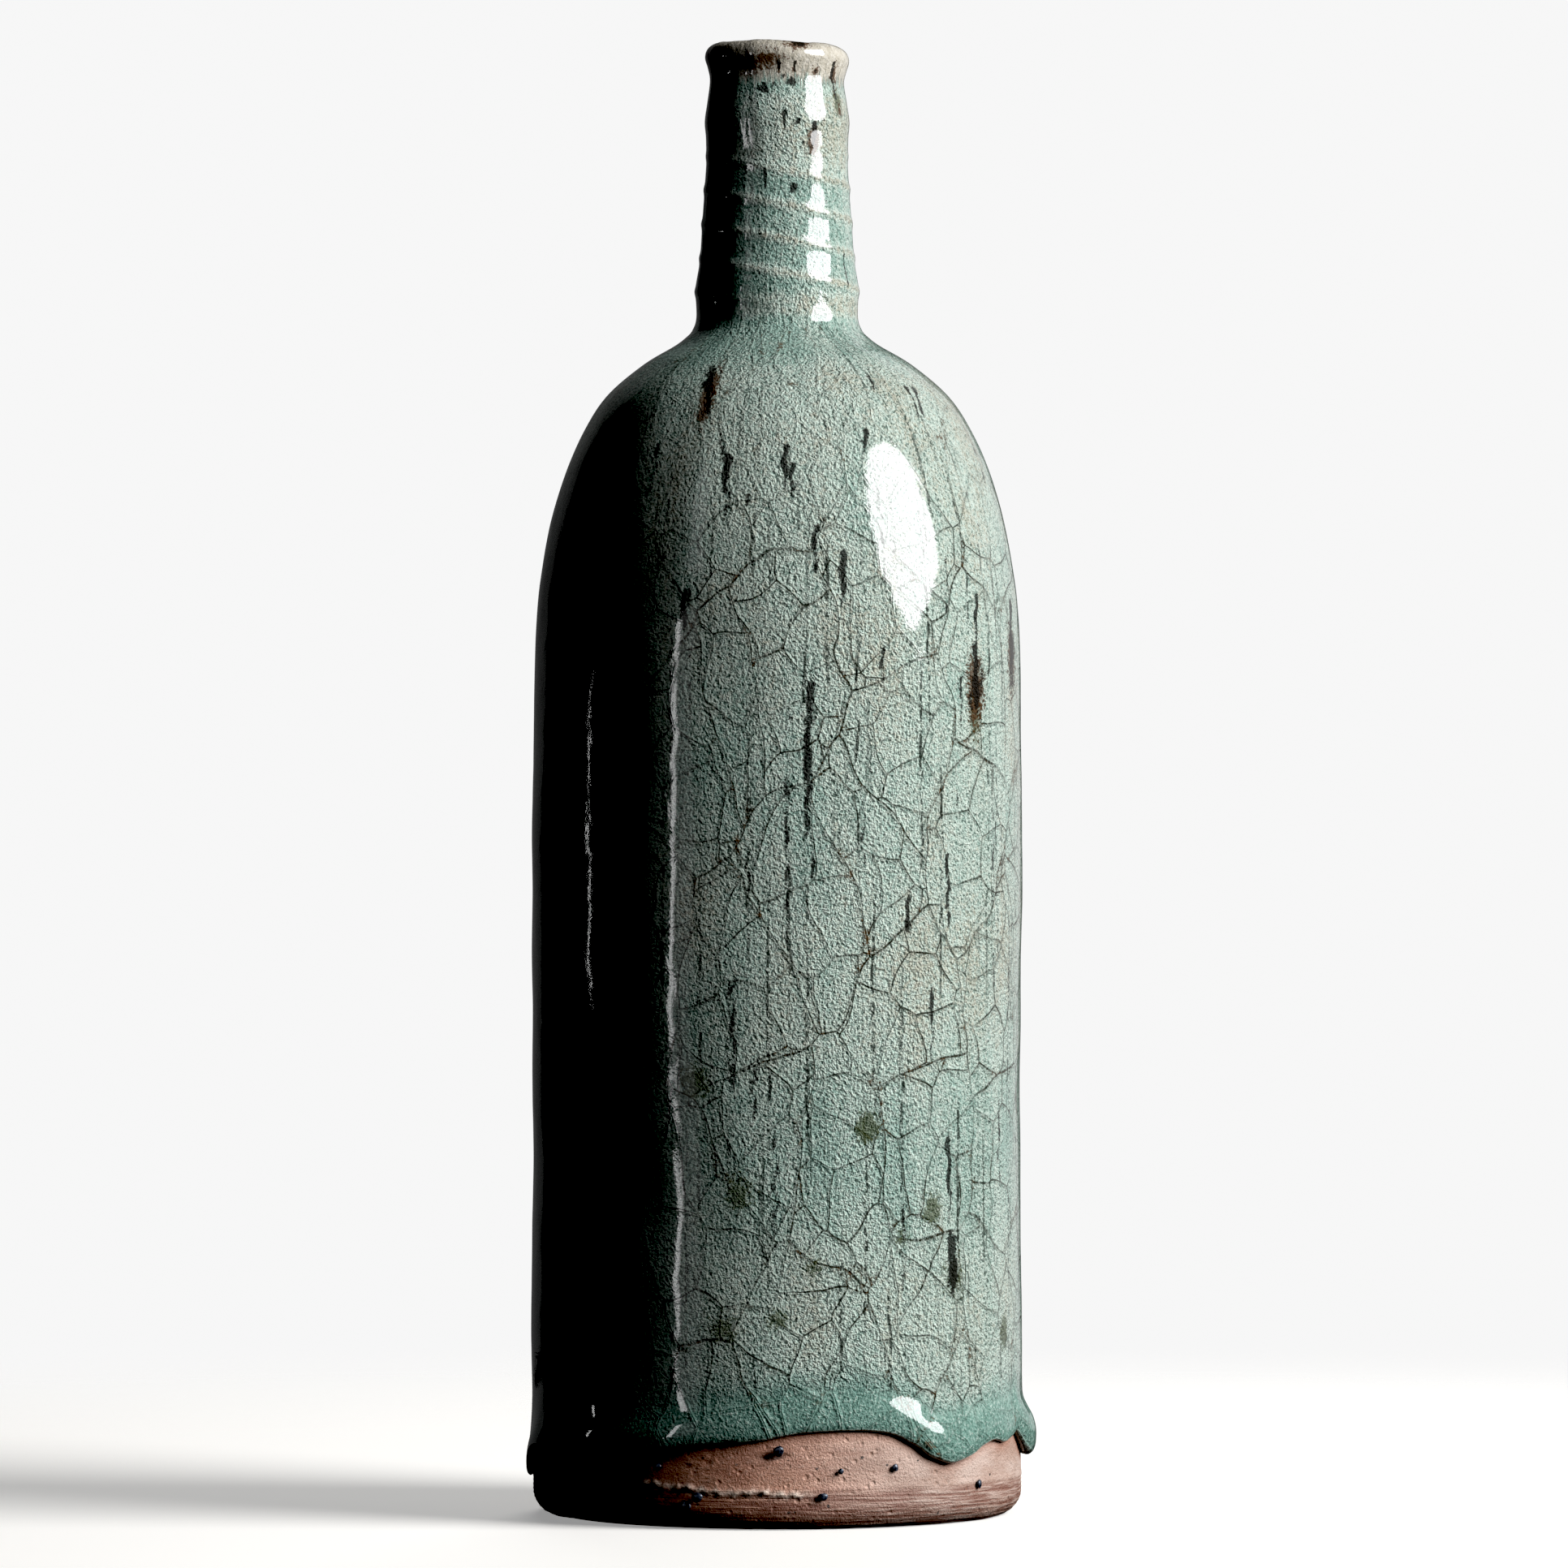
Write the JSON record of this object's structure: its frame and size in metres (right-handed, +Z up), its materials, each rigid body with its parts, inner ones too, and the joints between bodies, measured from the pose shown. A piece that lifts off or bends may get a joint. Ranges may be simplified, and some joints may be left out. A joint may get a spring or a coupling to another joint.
{
  "type": "sake bottle",
  "caption": "Tall cylindrical stoneware sake bottle with a slim ringed neck, a flared lip, a crackled glaze that ends in a rolled uneven edge, and a bare clay foot.",
  "frame": {"origin": "centre of the base's underside, in the plane that the foot stands on", "axes": "+Z up along the throwing axis; -Y is the front, the side that the picture shows; +X is to the right of the front view"},
  "size_m": [0.1037, 0.1018, 0.3],
  "materials": {
    "bare_clay": "matt reddish-brown unglazed stoneware",
    "slip": "matt, the same clay as the body",
    "celadon_glaze": "glossy grey-green celadon with a stained crackle and dark iron streaks",
    "pale_glaze": "glossy warm cream",
    "iron_melt": "glossy blue-black melted iron"
  },
  "bodies": {
    "root": {"clay_body": "bare_clay", "clay_neck": "bare_clay", "slip_joint": "slip", "body_glaze": "celadon_glaze", "neck_glaze": "celadon_glaze", "lip_glaze": "pale_glaze", "neck_liner_glaze": "pale_glaze", "body_liner_glaze": "pale_glaze", "iron_bead_01": "iron_melt", "iron_bead_02": "iron_melt", "iron_bead_03": "iron_melt", "iron_bead_04": "iron_melt", "iron_bead_05": "iron_melt", "iron_bead_06": "iron_melt", "iron_bead_07": "iron_melt", "iron_bead_08": "iron_melt", "iron_bead_09": "iron_melt", "iron_bead_10": "iron_melt", "iron_bead_11": "iron_melt"}
  },
  "joints": []
}
